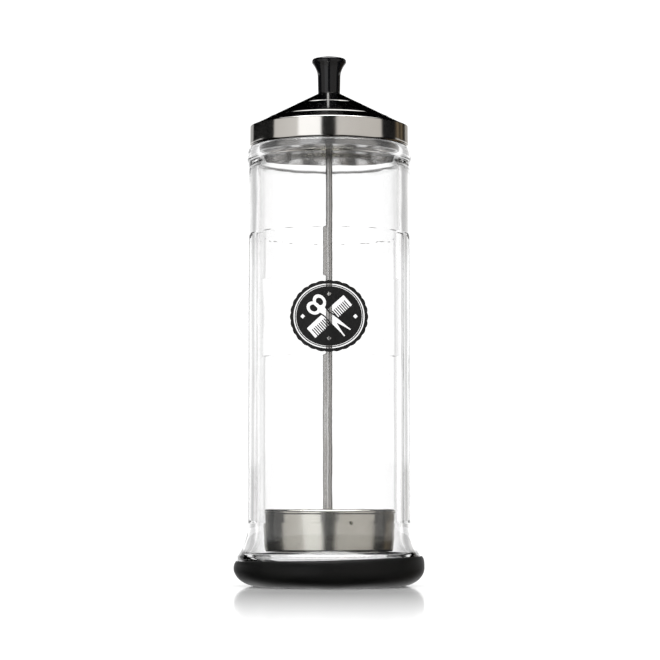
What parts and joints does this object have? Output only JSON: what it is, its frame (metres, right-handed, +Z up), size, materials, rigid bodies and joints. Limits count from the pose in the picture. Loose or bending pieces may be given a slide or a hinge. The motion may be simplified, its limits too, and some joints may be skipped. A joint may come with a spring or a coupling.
{
  "type": "disinfectant jar",
  "caption": "Tall faceted clear glass salon jar in a black rubber boot, with a conical steel lid, black knob, lift rod and a shallow perforated steel basket for combs and scissors.",
  "frame": {"origin": "centre of the face the boot stands on", "axes": "+Z up along the jar's axis, -Y towards the front label panel, +X to the right seen from the front"},
  "size_m": [0.1038, 0.1038, 0.2909],
  "materials": {
    "clear_glass": "clear fire-polished soda-lime glass",
    "black_rubber": "smooth moulded rubber, satin",
    "black_print": "fired-on ceramic ink, matt black",
    "polished_steel": "spun and polished stainless steel",
    "black_plastic": "glossy moulded black",
    "brass": "turned",
    "rod_steel": "drawn stainless steel, lightly polished",
    "nylon": "natural nylon",
    "zinc_steel": "stainless fastener",
    "brushed_steel": "drawn stainless steel, brushed round"
  },
  "bodies": {
    "jar": {"glass_jar": "clear_glass", "base_boot": "black_rubber", "badge_print": "black_print"},
    "lid": {"lid_shell": "polished_steel", "lid_inner_ring": "polished_steel"},
    "hanger": {"knob": "black_plastic", "knob_insert": "brass", "lift_rod": "rod_steel", "lid_washer": "nylon", "lid_lock_nut": "zinc_steel", "basket": "brushed_steel", "basket_upper_nut": "zinc_steel", "basket_spring_washer": "zinc_steel", "basket_upper_washer": "zinc_steel", "basket_lower_washer": "zinc_steel", "basket_lower_nut": "zinc_steel"}
  },
  "joints": [
    {"name": "lid_lift", "type": "slide", "parent": "jar", "child": "lid", "axis": [0, 0, 1], "range_m": [0, 0.26]},
    {"name": "hanger_swivel", "type": "hinge", "parent": "lid", "child": "hanger", "pos_m": [0, 0, 0.2701], "axis": [0, 0, 1], "continuous": true}
  ]
}
